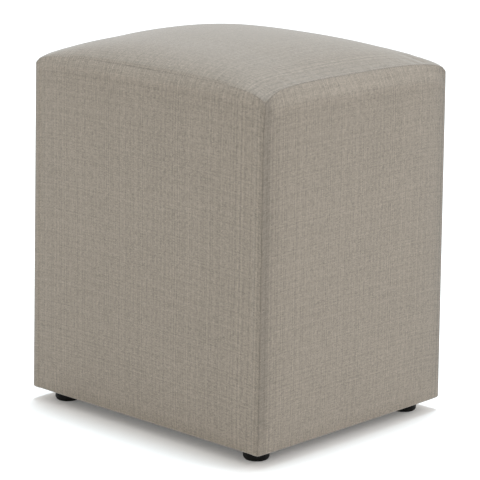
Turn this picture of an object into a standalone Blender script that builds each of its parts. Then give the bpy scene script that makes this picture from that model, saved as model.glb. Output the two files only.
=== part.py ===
"""Upholstered pouf stool: five padded cover panels sewn edge to edge, a plain base panel and four glides.

Metres, +Z up. The origin is on the floor under the middle of the stool. The front panel faces -Y.
"""

import bmesh
import bpy
import numpy as np

# The cover, measured where the seams meet.
WIDTH = 0.390  # along X, at the bottom edge
DEPTH = 0.334  # along Y, at the bottom edge
CORNER_HEIGHT = 0.421  # bottom edge up to a top corner, where three seams meet
TAPER = 0.0035  # how much each side leans in over that height

# The filled shape.
SEAM_RISE = 0.0115  # the top seams arch this far above the corners
SEAM_BOW = 0.0038  # and bow outwards this far
BELLY = 0.0030  # the side panels swell this much more at half height
CROWN = 0.0260  # the top stands this far above its seams
SEAM_POWER = 5.0  # a seam stays full along its length and draws in at its ends
CROWN_POWER = 3.0  # the crown is flat in the middle, with soft shoulders
PAD = 0.022  # thickness of a padded panel at its seams

# The sewn and turned edges.
SEAM_ROLL = 0.0020  # radius of a panel's edge where it turns into a seam
UNDER_ROLL = 0.0030  # radius of the cover's bottom edge
GAP = 0.0003  # clear space between neighbouring pieces

# The base and the glides.
BASE_THICKNESS = 0.016
BASE_CLEARANCE = 0.0005
BASE_EDGE = 0.001  # the bevel along its edges
GLIDE_HEIGHT = 0.0155  # floor up to the cover's bottom edge
GLIDE_RADIUS = 0.0160
GLIDE_INSET = 0.031  # a glide's centre, from each side of the cover
GLIDE_TOP_EDGE = 0.0008  # the bevel round its top
GLIDE_LOWER_EDGE = (0.0030, 0.0045)  # how far its rounded lower edge reaches in, and up

# Grid lines across a panel between its rolled edges, and steps round a glide.
LINES_ALONG_X = 17
LINES_ALONG_Y = 15
LINES_UP = 11
GLIDE_STEPS = 32
SHARP_ANGLE = np.radians(35.0)

ROLL_REACH = (1 + 2**0.5) * SEAM_ROLL  # where an edge starts to turn, from the seam's outer corner
ROLL_DEPTH = (1 + 0.5**0.5) * SEAM_ROLL  # how deep the two edges meet
MITRE_SHIFT = GAP / 2 * 2**0.5  # half the gap between two mitred faces, measured along an axis


def clear_scene():
    for thing in list(bpy.data.objects):
        bpy.data.objects.remove(thing, do_unlink=True)


def material(name, colour, roughness):
    made = bpy.data.materials.new(name)
    made.use_nodes = True
    shader = made.node_tree.nodes["Principled BSDF"]
    shader.inputs["Base Color"].default_value = (*colour, 1.0)
    shader.inputs["Roughness"].default_value = roughness
    shader.inputs["Metallic"].default_value = 0.0
    return made


def fullness(share):
    """1 along most of a seam, falling to 0 at its ends, where share is -1 and 1."""
    return 1 - np.abs(share) ** SEAM_POWER


def spaced(count):
    """Numbers from -1 to 1, closer together towards both ends."""
    return np.sin(np.linspace(-np.pi / 2, np.pi / 2, count))


def rolled_edge():
    """(behind, inset, sunk) of the points where an edge turns 135 degrees into its seam, seam first.

    inset is a point's distance from the seam's outer corner, along the face, and sunk its depth
    under the face. behind is the place that it has in the pad, as a distance from the seam.
    """
    turn = np.radians([135.0, 90.0, 45.0])
    inset = ROLL_REACH - SEAM_ROLL * np.sin(turn)
    sunk = SEAM_ROLL * (1 - np.cos(turn))
    behind = SEAM_ROLL * np.array([0.0, 0.8, 1.6])
    return behind, inset, sunk


def lines_across(half, count):
    """(share, inset, sunk) of a panel's grid lines from seam to seam, half being its half length.

    share runs from -1 to 1. inset is the distance from the nearer seam, and sunk the depth of the
    rolled edge there.
    """
    behind, edge_inset, edge_sunk = rolled_edge()
    edge = 1 - behind / half
    flat = spaced(count) * (1 - ROLL_REACH / half)
    share = np.concatenate([-edge, flat, edge[::-1]])
    inset = np.concatenate([edge_inset, half * (1 - np.abs(flat)), edge_inset[::-1]])
    sunk = np.concatenate([edge_sunk, np.zeros(count), edge_sunk[::-1]])
    return share, inset, sunk


def lines_up(count):
    """(share, inset, sunk) of a side panel's grid lines, from its turned bottom edge to the top seam.

    share runs from 0 to 1, and inset is the distance from the top seam.
    """
    turn = np.radians([0.0, 45.0])
    under = UNDER_ROLL * (1 - np.cos(turn))
    under_sunk = UNDER_ROLL * (1 - np.sin(turn))
    behind, edge_inset, edge_sunk = rolled_edge()
    span = CORNER_HEIGHT - ROLL_REACH - UNDER_ROLL
    flat = UNDER_ROLL + span * (spaced(count) + 1) / 2
    share = np.concatenate([under, flat, CORNER_HEIGHT - behind[::-1]]) / CORNER_HEIGHT
    inset = np.concatenate([CORNER_HEIGHT - under, CORNER_HEIGHT - flat, edge_inset[::-1]])
    sunk = np.concatenate([under_sunk, np.zeros(count), edge_sunk[::-1]])
    return share, inset, sunk


def joined(sunk_a, sunk_b):
    """The depth of a point where two edges turn at once. At a seam it is always ROLL_DEPTH."""
    return ROLL_DEPTH * (1 - (1 - sunk_a / ROLL_DEPTH) * (1 - sunk_b / ROLL_DEPTH))


def place_along(share, half, inset, depth):
    """A point's distance from the panel's middle line. It never crosses the mitre, where inset is depth."""
    return np.sign(share) * (half - np.maximum(inset, depth))


def pad(name, outer, inner, finish):
    """A closed solid between two sheets of points, each (rows, columns, 3), seen from outside."""
    rows, columns, _ = outer.shape
    points = np.concatenate([outer.reshape(-1, 3), inner.reshape(-1, 3)])
    front = np.arange(rows * columns).reshape(rows, columns)
    back = front + rows * columns

    def cells(index):
        a, b, c, d = index[:-1, :-1], index[:-1, 1:], index[1:, 1:], index[1:, :-1]
        return np.stack([a, b, c, d], axis=-1).reshape(-1, 4)

    def rim(index):
        return np.concatenate([index[0, :-1], index[:-1, -1], index[-1, :0:-1], index[:0:-1, 0]])

    around, behind = rim(front), rim(back)
    walls = np.stack([np.roll(around, -1), around, behind, np.roll(behind, -1)], axis=-1)
    faces = np.concatenate([cells(front), cells(back)[:, ::-1], walls])
    mesh = bpy.data.meshes.new(name)
    mesh.from_pydata(points.tolist(), [], faces.tolist())
    mesh.materials.append(finish)
    return place_mesh(name, mesh)


def place_mesh(name, mesh):
    mesh.shade_smooth()
    mesh.set_sharp_from_angle(angle=SHARP_ANGLE)
    made = bpy.data.objects.new(name, mesh)
    bpy.context.scene.collection.objects.link(made)
    return made


def side_panel(name, half_width, half_reach, lines, turn, finish):
    """A padded side, modelled facing -Y and half_reach from the middle, then turned about Z.

    Both ends are mitred at 45 degrees to meet the next sides, and the top is mitred to meet the
    top panel all along its arched seam.
    """
    share, inset, sunk = (line[None, :] for line in lines_across(half_width, lines))
    up, inset_up, sunk_up = (line[:, None] for line in lines_up(LINES_UP))
    full = fullness(share)
    bow = full * SEAM_BOW * up
    belly = full * BELLY * 4 * up * (1 - up)
    lean = TAPER * up
    depth = joined(sunk, sunk_up)
    rise = up * (full * SEAM_RISE - MITRE_SHIFT)
    outer = np.stack(
        [
            place_along(share, half_width, inset, depth) - share * (lean + MITRE_SHIFT),
            lean + depth - half_reach - bow - belly,
            GLIDE_HEIGHT + CORNER_HEIGHT - np.maximum(inset_up, depth) + rise,
        ],
        axis=-1,
    )
    inner = np.stack(
        [
            share * (half_width - PAD - lean - MITRE_SHIFT),
            lean + PAD - half_reach - bow,
            GLIDE_HEIGHT + up * (CORNER_HEIGHT - PAD) + rise,
        ],
        axis=-1,
    )
    panel = pad(name, outer, inner, finish)
    panel.rotation_euler.z = turn
    return panel


def top_panel(finish):
    """The crowned top with its filling, whose mitred rim follows the arched seams on all four sides.

    Its underside is level in the middle, where a flat board would carry it.
    """
    half_x, half_y = WIDTH / 2 - TAPER, DEPTH / 2 - TAPER
    share_x, inset_x, sunk_x = (line[None, :] for line in lines_across(half_x, LINES_ALONG_X))
    share_y, inset_y, sunk_y = (line[:, None] for line in lines_across(half_y, LINES_ALONG_Y))
    full_x, full_y = fullness(share_x), fullness(share_y)
    seams = GLIDE_HEIGHT + CORNER_HEIGHT + MITRE_SHIFT
    seams = seams + SEAM_RISE * (full_x + full_y - full_x * full_y)
    bow_x, bow_y = share_x * SEAM_BOW * full_y, share_y * SEAM_BOW * full_x

    def shoulder(share, half):
        """1 in the middle and 0 from where the rolled edge starts."""
        inside = np.minimum(np.abs(share) / (1 - ROLL_REACH / half), 1)
        return 1 - inside**CROWN_POWER

    crown = CROWN * shoulder(share_x, half_x) * shoulder(share_y, half_y)
    depth = joined(sunk_x, sunk_y)
    outer = np.stack(
        [
            place_along(share_x, half_x, inset_x, depth) + bow_x,
            place_along(share_y, half_y, inset_y, depth) + bow_y,
            seams + crown - depth,
        ],
        axis=-1,
    )
    inner = np.stack(
        [
            share_x * (half_x - PAD) + bow_x,
            share_y * (half_y - PAD) + bow_y,
            seams - PAD - SEAM_RISE * full_x * full_y,
        ],
        axis=-1,
    )
    return pad("top_panel", outer, inner, finish)


def base_panel(finish):
    """The plain panel that closes the body underneath, inside the four padded sides."""
    mesh = bpy.data.meshes.new("base_panel")
    shape = bmesh.new()
    bmesh.ops.create_cube(shape, size=1.0)
    inset = 2 * (PAD + BASE_CLEARANCE)
    bmesh.ops.scale(shape, vec=(WIDTH - inset, DEPTH - inset, BASE_THICKNESS), verts=shape.verts)
    shape.to_mesh(mesh)
    shape.free()
    mesh.materials.append(finish)
    panel = place_mesh("base_panel", mesh)
    panel.location.z = GLIDE_HEIGHT + BASE_THICKNESS / 2
    bevel = panel.modifiers.new("edges", "BEVEL")
    bevel.width = BASE_EDGE
    bevel.segments = 1
    return panel


def glide_mesh(finish):
    """A round foot turned about Z: a straight skirt, a rounded lower edge and a flat sole."""
    top = GLIDE_HEIGHT - GAP
    reach, rise = GLIDE_LOWER_EDGE
    sole = GLIDE_RADIUS - reach
    edge = np.radians(np.linspace(0.0, 90.0, 4))
    profile = [(0.0, top), (GLIDE_RADIUS - GLIDE_TOP_EDGE, top)]
    profile += [(GLIDE_RADIUS, top - GLIDE_TOP_EDGE)]
    profile += [(sole + reach * np.cos(a), rise * (1 - np.sin(a))) for a in edge]
    profile += [(0.0, 0.0)]
    mesh = bpy.data.meshes.new("glide")
    shape = bmesh.new()
    line = [shape.verts.new((radius, 0.0, height)) for radius, height in profile]
    edges = [shape.edges.new(pair) for pair in zip(line, line[1:])]
    bmesh.ops.spin(
        shape,
        geom=line + edges,
        cent=(0.0, 0.0, 0.0),
        axis=(0.0, 0.0, 1.0),
        angle=2 * np.pi,
        steps=GLIDE_STEPS,
    )
    bmesh.ops.remove_doubles(shape, verts=shape.verts, dist=1e-6)
    bmesh.ops.recalc_face_normals(shape, faces=shape.faces)
    shape.to_mesh(mesh)
    shape.free()
    mesh.materials.append(finish)
    return mesh


def glides(finish):
    """Four glides near the corners, all turned from one profile."""
    mesh = glide_mesh(finish)
    across, along = WIDTH / 2 - GLIDE_INSET, DEPTH / 2 - GLIDE_INSET
    for end, y in (("front", -along), ("back", along)):
        for side, x in (("left", -across), ("right", across)):
            glide = place_mesh(f"glide_{end}_{side}", mesh)
            glide.location = (x, y, 0.0)


def main():
    clear_scene()
    cover = material("cover_linen", (0.305, 0.270, 0.228), 0.92)
    base_cloth = material("base_cloth", (0.030, 0.030, 0.030), 0.95)
    black_plastic = material("glide_plastic", (0.012, 0.012, 0.011), 0.50)
    quarter = np.pi / 2
    half_x, half_y = WIDTH / 2, DEPTH / 2
    side_panel("front_panel", half_x, half_y, LINES_ALONG_X, 0 * quarter, cover)
    side_panel("right_panel", half_y, half_x, LINES_ALONG_Y, 1 * quarter, cover)
    side_panel("back_panel", half_x, half_y, LINES_ALONG_X, 2 * quarter, cover)
    side_panel("left_panel", half_y, half_x, LINES_ALONG_Y, 3 * quarter, cover)
    top_panel(cover)
    base_panel(base_cloth)
    glides(black_plastic)


main()
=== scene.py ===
"""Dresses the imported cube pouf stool: five sewn covers with their filling, a dust cover and four round feet.

Metres, +Z up. The front cover faces -Y and the right cover +X. The origin is on the floor, under the
middle of the stool. Each shape is worked out with numpy as whole arrays and put in its mesh where it belongs.
"""

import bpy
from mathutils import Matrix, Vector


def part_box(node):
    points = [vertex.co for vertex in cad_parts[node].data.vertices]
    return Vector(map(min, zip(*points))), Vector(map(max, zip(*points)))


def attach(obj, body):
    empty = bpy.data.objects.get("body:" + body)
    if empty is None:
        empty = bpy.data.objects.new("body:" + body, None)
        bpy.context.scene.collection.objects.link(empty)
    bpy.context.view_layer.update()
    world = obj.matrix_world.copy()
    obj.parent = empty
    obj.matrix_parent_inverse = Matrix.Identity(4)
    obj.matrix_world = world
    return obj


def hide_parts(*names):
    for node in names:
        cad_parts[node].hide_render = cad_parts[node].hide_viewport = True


bl_info = {
    "name": "Cube pouf stool",
    "version": (1, 0, 0),
    "blender": (4, 5, 0),
    "location": "3D View > Sidebar > Pouf",
    "description": "Builds the sewn covers, dust cover, feet and studio stage of a cube pouf stool",
    "category": "Add Mesh",
}

import math
from collections import namedtuple
from functools import partial

import bpy
import numpy as np
from bpy.props import FloatProperty, FloatVectorProperty, IntProperty, PointerProperty
from mathutils import Matrix

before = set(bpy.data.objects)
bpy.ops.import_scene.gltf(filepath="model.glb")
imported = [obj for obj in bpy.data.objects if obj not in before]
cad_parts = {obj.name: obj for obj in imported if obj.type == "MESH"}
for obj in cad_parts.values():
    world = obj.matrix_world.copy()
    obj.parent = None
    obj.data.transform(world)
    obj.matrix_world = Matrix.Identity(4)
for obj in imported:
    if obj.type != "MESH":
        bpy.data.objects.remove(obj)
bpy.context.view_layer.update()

# The side covers: the solid each stands for, its turn from facing -Y in quarters, and its random seed.
SIDES = (
    ("front_cover", "front_panel", 0, 11),
    ("right_cover", "right_panel", 1, 23),
    ("back_cover", "back_panel", 2, 37),
    ("left_cover", "left_panel", 3, 41),
)
TOP_SEED = 53
FEET = ("front_left", "front_right", "back_right", "back_left")


# ---- Sizes and colours ----


def length(name, description, default, low=0.0, high=2.0):
    """A property that holds a length in metres."""
    return FloatProperty(
        name=name, description=description, default=default, min=low, max=high, precision=4,
        subtype="DISTANCE", unit="LENGTH",
    )


def angle(name, description, degrees):
    """A property that holds an angle."""
    return FloatProperty(name=name, description=description, default=math.radians(degrees), subtype="ANGLE")


def share(name, description, default, low=0.0, high=1.0):
    """A property that holds a plain number."""
    return FloatProperty(name=name, description=description, default=default, min=low, max=high, precision=3)


def colour(name, description, default):
    """A property that holds a linear colour."""
    return FloatVectorProperty(
        name=name, description=description, default=default, size=3, min=0.0, max=1.0, subtype="COLOR"
    )


class PoufCoverShape(bpy.types.PropertyGroup):
    """Sizes of the cover, measured where its seams meet, and of its filling."""

    width: length("Width", "Across the bottom edge from left to right", 0.3906)
    depth: length("Depth", "Across the bottom edge from front to back", 0.3372)
    height: length("Height", "From the bottom edge up to a top corner", 0.4205)
    lift: length("Lift", "Floor up to the bottom edge", 0.0155)
    taper: length("Taper", "How much each side leans in over the height", 0.0035)
    front_rise: length("Front rise", "How far the front and back top seams arch above the corners", 0.0137)
    side_rise: length("Side rise", "How far the left and right top seams arch above the corners", 0.0137)
    seam_bow: length("Seam bow", "How far the top seams bow outwards", 0.0038)
    belly: length("Belly", "How much the front and back covers swell at half height", 0.0030)
    side_belly: length("Side belly", "How much the left and right covers swell at half height", 0.0042)
    crown: length("Crown", "How far the top stands above its seams", 0.0297)
    brow: length("Brow", "Extra height where the cloth rounds over behind the front seam", 0.0070)
    back_brow: length("Back brow", "The same before the back seam", 0.0025)
    side_brow: length("Side brow", "The same beside the left and right seams", 0.0011)
    pad: length("Padding", "Thickness of a padded cover at its seams", 0.022)
    swell: length("Swell", "How far the filling may push a cover out", 0.0030)
    pressure: share("Pressure", "Pressure of the filling in the cloth simulation", 2.5, 0.0, 20.0)


class PoufSeams(bpy.types.PropertyGroup):
    """The sewn edges, and the seam allowances that show through the cloth beside them."""

    roll: length("Roll", "Radius of a cover's edge where it turns into a seam", 0.0002)
    under_roll: length("Bottom roll", "Radius of the bottom edge, where the cloth turns under", 0.0030)
    gap: length("Gap", "Clear space between two covers in a seam", 0.00012)
    corner_ridge: length("Corner ridge", "Height of the allowance behind the front and back covers", 0.0009)
    corner_dip: length("Corner dip", "How far the left and right covers stand out beside a seam", 0.0008)
    corner_sink: length("Corner sink", "How far they rise from a broader hollow there", 0.0004)
    corner_tuck: length("Corner tuck", "How far the front and back covers turn in at a corner seam", 0.0009)
    # Painted shade: the share by which the cloth's colour is darkened where the painted shade beside a seam is
    # full.
    painted_shade_share: share("Corner shade", "How much darker the cloth is beside a seam", 0.150)
    corner_width: length("Corner allowance", "Width of the allowance beside a corner seam", 0.0105)
    top_ridge: length("Top ridge", "Height of the allowance folded down behind the top seams", 0.0006)
    top_width: length("Top allowance", "Width of the allowance below the front and back top seams", 0.0140)
    side_width: length("Side allowance", "Width of the allowance below the left and right top seams", 0.0225)
    eased: length("Eased edge", "How far the left and right top edges are rounded inwards", 0.0100)
    eased_height: length("Eased height", "Height of that rounding", 0.0260)
    front_eased: length("Eased front", "How far the front and back top edges are rounded inwards", 0.0058)
    front_eased_height: length("Eased front height", "Height of that rounding", 0.0150)
    pucker: length("Pucker", "Height of the small waves that the stitches draw in beside a seam", 0.00022)
    stitch: length("Stitch", "Length of one stitch", 0.0040)


class PoufCloth(bpy.types.PropertyGroup):
    """The upholstery cloth: a plain weave of heathered, slubby yarn."""

    light_yarn: colour("Light yarn", "Colour of the pale yarn", (0.372, 0.311, 0.249))
    dark_yarn: colour("Dark yarn", "Colour of the taupe yarn", (0.119, 0.1025, 0.078))
    pitch: length("Thread pitch", "From one thread to the next", 0.00105)
    slub: length("Slub length", "Length of a thick or pale stretch of yarn", 0.014)
    relief: length("Relief", "Height of the weave", 0.00008)


class PoufUnderside(bpy.types.PropertyGroup):
    """The dust cover under the body, and the round feet."""

    dust_cloth: colour("Dust cloth", "Colour of the non-woven cloth underneath", (0.022, 0.022, 0.023))
    sag: length("Sag", "How far the dust cloth hangs between its edges", 0.0006)
    foot_radius: length("Foot radius", "Radius of a foot", 0.0160)
    foot_inset: length("Foot inset", "A foot's centre, from each side of the cover", 0.031)
    foot_clearance: length("Foot clearance", "Clear space between a foot and the cover", 0.0003)
    foot_steps: IntProperty(name="Foot steps", description="Steps round a foot", default=96, min=12, max=256)
    plastic: colour("Plastic", "Colour of the moulded feet", (0.0034, 0.0034, 0.0032))


class PoufStage(bpy.types.PropertyGroup):
    """Floor, lights and camera."""

    floor: colour("Floor", "Colour of the floor", (0.93, 0.917, 0.888))
    glow: share("Glow", "Light that the floor gives off itself", 0.105)
    surround: share("Surround", "Strength of the even light from all round", 0.838, 0.0, 5.0)
    key: share("Key light", "Strength of the soft light above", 2.24, 0.0, 20.0)
    side: share("Side light", "Strength of the soft light on the right", 0.50, 0.0, 20.0)
    softness: angle("Softness", "Width of the key light as an angle", 9.0)
    azimuth: angle("Azimuth", "Camera's turn round the stool", 43.014)
    elevation: angle("Elevation", "Camera's angle above the floor", 13.554)
    roll: angle("Roll", "Camera's turn about its own axis", 0.894)
    distance: length("Distance", "Camera to the stool", 3.0009, high=20.0)
    across: length("Across", "Camera's move to its right", 0.00608, low=-1.0)
    above: length("Above", "Camera's move upwards", 0.19354, low=-1.0)
    lens: FloatProperty(
        name="Focal length", description="Camera's own", default=176.685, min=1.0, subtype="DISTANCE_CAMERA"
    )


GROUPS = {
    "pouf_cover": PoufCoverShape,
    "pouf_seams": PoufSeams,
    "pouf_cloth": PoufCloth,
    "pouf_underside": PoufUnderside,
    "pouf_stage": PoufStage,
}


# ---- Grid lines ----

# The spacing of a cover's lines: the first one on its face from where the edge turns, those beside a seam and
# those in the middle, then how many lines make the edge that turns into a seam and the one that turns under.
Grid = namedtuple("Grid", "first band open turn under")
FINE = Grid(0.0014, 0.0014, 0.0032, 7, 6)  # a finished cover
FORM = Grid(0.0030, 0.0060, 0.0060, 2, 3)  # the form that is simulated
BAND_END = 0.020  # the lines beside a seam end this far from it
TURN_REACH, TURN_DEPTH = 1 + 2**0.5, 1 + 0.5**0.5  # where a seam's edge starts to turn and how deep it ends
GAP_SHARE = 2**0.5 / 2  # how far a cover stays back from a seam for each metre of gap
MITRE_EASE = 0.008  # lines this near a corner seam move in where the bottom edge is deeper than the seam
# A brow's rounding is full this far from its seam, it starts to fade there, and it is gone there.
FRONT_BROW, BACK_BROW, SIDE_BROW = (0.021, 0.0126, 0.105), (0.010, 0.006, 0.033), (0.015, 0.009, 0.042)
SHARP_ANGLE = math.radians(35.0)

WEAVE_MAP, BAKING_MAP = "weave", "OFBake"
MAP_SHARE, MAP_MARGIN = 0.925, 0.024
# Attribute names: each point's distance from the seams at a cover's sides and at its top, and the painted
# shade beside those seams.
SIDE_SEAM, TOP_SEAM, PAINTED_SHADE = "from_side_seam", "from_top_seam", "seam_shade"


def smooth(low, high, at):
    """0 up to low and 1 from high, with a smooth step between."""
    t = np.clip((at - low) / (high - low), 0, 1)
    return t * t * (3 - 2 * t)


def waves(at, lengths, seed):
    """A sum of sines of those wave lengths along `at`, with seeded phases, between -1 and 1."""
    phases = np.random.default_rng(seed).random(len(lengths))
    return sum(np.sin(2 * np.pi * (at / one + phase)) for one, phase in zip(lengths, phases)) / len(lengths)


def beside_seam(seams, grid):
    """(behind, inset, sunk) of the lines beside a seam, seam first.

    The edge turns 135 degrees on a circle: at a turn t the line is reach - roll sin t from the seam's
    outer corner, and roll (1 - cos t) under the face, where reach = (1 + sqrt 2) roll is where the turn
    starts. Lines on the face follow. behind is a line's place in the pad, as a distance from the seam.
    """
    reach = TURN_REACH * seams.roll
    band = np.arange(reach + grid.first, BAND_END, grid.band)
    turn = np.radians(np.linspace(135.0, 0.0, grid.turn))
    return (
        np.concatenate([np.linspace(0, reach, grid.turn), band]),
        np.concatenate([reach - seams.roll * np.sin(turn), band]),
        np.concatenate([seams.roll * (1 - np.cos(turn)), np.zeros(len(band))]),
    )


def mirrored(edge, middle):
    """Numbers for the lines from one seam to the other: the edge's, the middle's and the edge's reversed."""
    return np.concatenate([edge, middle, edge[::-1]])


def lines_across(half, edge, step):
    """(share from -1 to 1, distance from the nearer seam, depth of the turned edge) of a cover's lines from
    one seam to the other, half being its half length."""
    behind, inset, sunk = edge
    outermost = 1 - behind[-1] / half
    count = int(np.ceil(2 * outermost * half / step)) + 1
    middle = np.linspace(-outermost, outermost, count)[1:-1]
    side = 1 - behind / half
    return (
        np.concatenate([-side, middle, side[::-1]]),
        mirrored(inset, half * (1 - np.abs(middle))),
        mirrored(sunk, np.zeros(len(middle))),
    )


def lines_up(height, under_roll, edge, grid):
    """(share from 0 to 1, distance from the top seam, depth of the edge that turns into it, depth of the
    bottom edge) of a side cover's lines, bottom first. The bottom edge turns 90 degrees on a circle."""
    behind, inset, sunk = edge
    turn = np.linspace(0, np.pi / 2, grid.under)[:-1]
    low = under_roll * (1 - np.cos(turn))
    top = height - behind[-1]
    flat = np.linspace(under_roll, top, int(np.ceil((top - under_roll) / grid.open)) + 1)[:-1]
    none = np.zeros(len(low) + len(flat))
    return (
        np.concatenate([low, flat, height - behind[::-1]]) / height,
        np.concatenate([height - low, height - flat, inset[::-1]]),
        np.concatenate([none, sunk[::-1]]),
        np.concatenate([under_roll * (1 - np.sin(turn)), np.zeros(len(flat) + len(sunk))]),
    )


def side_lines(shape, seams, half, grid):
    """(lines up, lines across) of a side cover."""
    edge = beside_seam(seams, grid)
    return lines_up(shape.height, seams.under_roll, edge, grid), lines_across(half, edge, grid.open)


def top_lines(seams, half_x, half_y, grid):
    """(lines from front to back, lines from left to right) of the top cover."""
    edge = beside_seam(seams, grid)
    return lines_across(half_y, edge, grid.open), lines_across(half_x, edge, grid.open)


def on_new_lines(field, lines, wanted):
    """A field given on `lines` along its first axis, read on the `wanted` lines with a cubic curve between
    each two, whose slopes are those of the field."""
    slopes = np.gradient(field, lines, axis=0)
    left = np.clip(np.searchsorted(lines, wanted) - 1, 0, len(lines) - 2)
    span = (lines[left + 1] - lines[left])[:, None, None]
    t = np.clip((wanted - lines[left])[:, None, None] / span, 0, 1)
    return (
        field[left] * (1 + 2 * t) * (1 - t) ** 2
        + field[left + 1] * t * t * (3 - 2 * t)
        + span * (slopes[left] * t * (1 - t) ** 2 - slopes[left + 1] * t * t * (1 - t))
    )


def fullness(shares, power=5):
    """1 - |s|^power: 1 along most of a seam, falling to 0 at its ends, where the share is -1 and 1."""
    return 1 - np.abs(shares) ** power


def arch(shares):
    """The rise of a top seam, as a share: 1 - 0.71 s^4 - 0.29 s^24, so that it drops fast to its corners."""
    return 1 - 0.71 * shares**4 - 0.29 * shares**24


def top_line(shape, arch_x, arch_y):
    """Height of the surface that the top seams span: each arch counts in full along its own seams, and
    the two together as their mean in the middle."""
    rises = shape.front_rise * arch_x + shape.side_rise * arch_y
    rises = rises - arch_x * arch_y * (shape.front_rise + shape.side_rise) / 2
    return shape.lift + shape.height + rises


def joined(sunk_a, sunk_b, deepest):
    """The depth where two edges turn at once: 1 - (1 - a)(1 - b) of the deepest, which a seam always has."""
    return deepest * (1 - (1 - sunk_a / deepest) * (1 - sunk_b / deepest))


def rows(lines):
    """A grid's lines as columns of one number a row."""
    return [one[:, None] for one in lines]


def points_of(x, y, z):
    """An array of points, from three coordinates that broadcast together."""
    return np.stack(np.broadcast_arrays(x, y, z), axis=-1)


def brow(behind, full, fades, gone):
    """A quarter ellipse that rises to 1 at `full` from its seam, and fades between the other distances."""
    return np.sqrt(1 - (1 - np.minimum(behind / full, 1)) ** 2) * (1 - smooth(fades, gone, behind))


def side_sheets(shape, seams, half, reach, ends, up, across, filled):
    """(outer, inner) sheets of a side cover that faces -Y, half being its half width and reach its
    distance from the middle. ends is true for the front and back covers.

    A point stands at reach, less the lean, plus the bow, which grows to the top and is full along the
    middle of the seam, plus the belly, 4 u (1 - u) of its height at height u, less the depth of the turned
    edges. Its height is the distance from the top seam, which arches. The inner sheet is `pad` behind and
    follows the bow, and the walls between them are mitred. filled is the part of the swell that is there.
    """
    s, inset, sunk = across
    u, inset_up, sunk_up, under = rows(up)
    deepest, shift = TURN_DEPTH * seams.roll, GAP_SHARE * seams.gap
    arched = shape.front_rise if ends else shape.side_rise
    swollen = (shape.belly if ends else shape.side_belly) - shape.swell * (1 - filled)
    bow = fullness(s) * shape.seam_bow * u
    belly = fullness(s, 5 if ends else 7) * swollen * 4 * u * (1 - u)
    lean = shape.taper * u
    turned = 1 - under / seams.under_roll
    depth = joined(sunk, sunk_up, deepest) * turned + under
    drawn = (deepest * turned + under - deepest) * np.clip(1 - (inset - deepest) / MITRE_EASE, 0, 1)
    rise = u * (arch(s) * arched - shift)
    outer = points_of(
        np.sign(s) * (half - inset - drawn) - s * (lean + shift),
        lean + depth - reach - bow - belly,
        shape.lift + shape.height - np.where(under > 0, shape.height * (1 - u), inset_up) + rise,
    )
    return outer, points_of(
        s * (half - shape.pad - lean - shift),
        lean + shape.pad - reach - bow,
        shape.lift + u * (shape.height - shape.pad) + rise,
    )


def top_sheets(shape, seams, half_x, half_y, across_y, across_x, filled):
    """(outer, inner) sheets of the top cover, whose rim follows the arched seams on all four sides.

    Above the seams stands a dome, (1 - |x|^2.85)(1 - |y|^2.25), and beside each seam the cloth rounds
    over a brow times one less the cube of its place along the seam. The depth of the turned edges is
    taken off. The inner sheet is level in the middle. filled is the part of the swell that is there.
    """
    sx, inset_x, sunk_x = across_x
    sy, inset_y, sunk_y = rows(across_y)
    reach = TURN_REACH * seams.roll
    full_x, full_y, arch_x, arch_y = fullness(sx), fullness(sy), arch(sx), arch(sy)
    line = top_line(shape, arch_x, arch_y) + GAP_SHARE * seams.gap
    bow_x, bow_y = sx * shape.seam_bow * full_y, sy * shape.seam_bow * full_x
    x, y = np.minimum(np.abs(sx) / (1 - reach / half_x), 1), np.minimum(np.abs(sy) / (1 - reach / half_y), 1)
    behind = (1 - y) * half_y
    front, back = shape.brow * brow(behind, *FRONT_BROW), shape.back_brow * brow(behind, *BACK_BROW)
    brows = np.where(sy < 0, front, back)
    brows = brows * (1 - x**3) + shape.side_brow * brow((1 - x) * half_x, *SIDE_BROW) * (1 - y**3)
    crown = (shape.crown - shape.swell * (1 - filled)) * (1 - x**2.85) * (1 - y**2.25) + brows
    outer = points_of(
        np.sign(sx) * (half_x - inset_x) + bow_x,
        np.sign(sy) * (half_y - inset_y) + bow_y,
        line + crown - joined(sunk_x, sunk_y, TURN_DEPTH * seams.roll),
    )
    return outer, points_of(
        sx * (half_x - shape.pad) + bow_x,
        sy * (half_y - shape.pad) + bow_y,
        line - shape.pad - (shape.front_rise + shape.side_rise) / 2 * full_x * full_y,
    )


def pad_faces(rows_, columns):
    """Faces of a closed pad, as three arrays of four corners: the outer sheet's, the inner sheet's and the
    walls'. The outer sheet's points come first, row by row, and then the inner sheet's."""
    front = np.arange(rows_ * columns).reshape(rows_, columns)
    back = front + rows_ * columns

    def cells(index):
        corners = index[:-1, :-1], index[:-1, 1:], index[1:, 1:], index[1:, :-1]
        return np.stack(corners, axis=-1).reshape(-1, 4)

    def rim(index):
        return np.concatenate([index[0, :-1], index[:-1, -1], index[-1, :0:-1], index[:0:-1, 0]])

    around, behind = rim(front), rim(back)
    walls = np.stack([np.roll(around, -1), around, behind, np.roll(behind, -1)], axis=-1)
    return cells(front), cells(back)[:, ::-1], walls


def spread_flat(outer):
    """The cloth's own flat coordinates, in metres: the length along a row from the middle column, and
    the length up a column from the middle row."""
    across = np.linalg.norm(np.diff(outer, axis=1), axis=-1)
    up = np.linalg.norm(np.diff(outer, axis=0), axis=-1)
    u = np.pad(np.cumsum(across, axis=1), ((0, 0), (1, 0)))
    v = np.pad(np.cumsum(up, axis=0), ((1, 0), (0, 0)))
    middle_row, middle_column = outer.shape[0] // 2, outer.shape[1] // 2
    return np.stack([u - u[:, middle_column][:, None], v - v[middle_row][None, :]], axis=-1)


def pushed_out(flat, by):
    """The flat coordinates with their border moved out by that length, for the far side of the walls."""
    moved = flat.copy()
    moved[0, :, 1] -= by
    moved[-1, :, 1] += by
    moved[:, 0, 0] -= by
    moved[:, -1, 0] += by
    return moved


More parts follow.
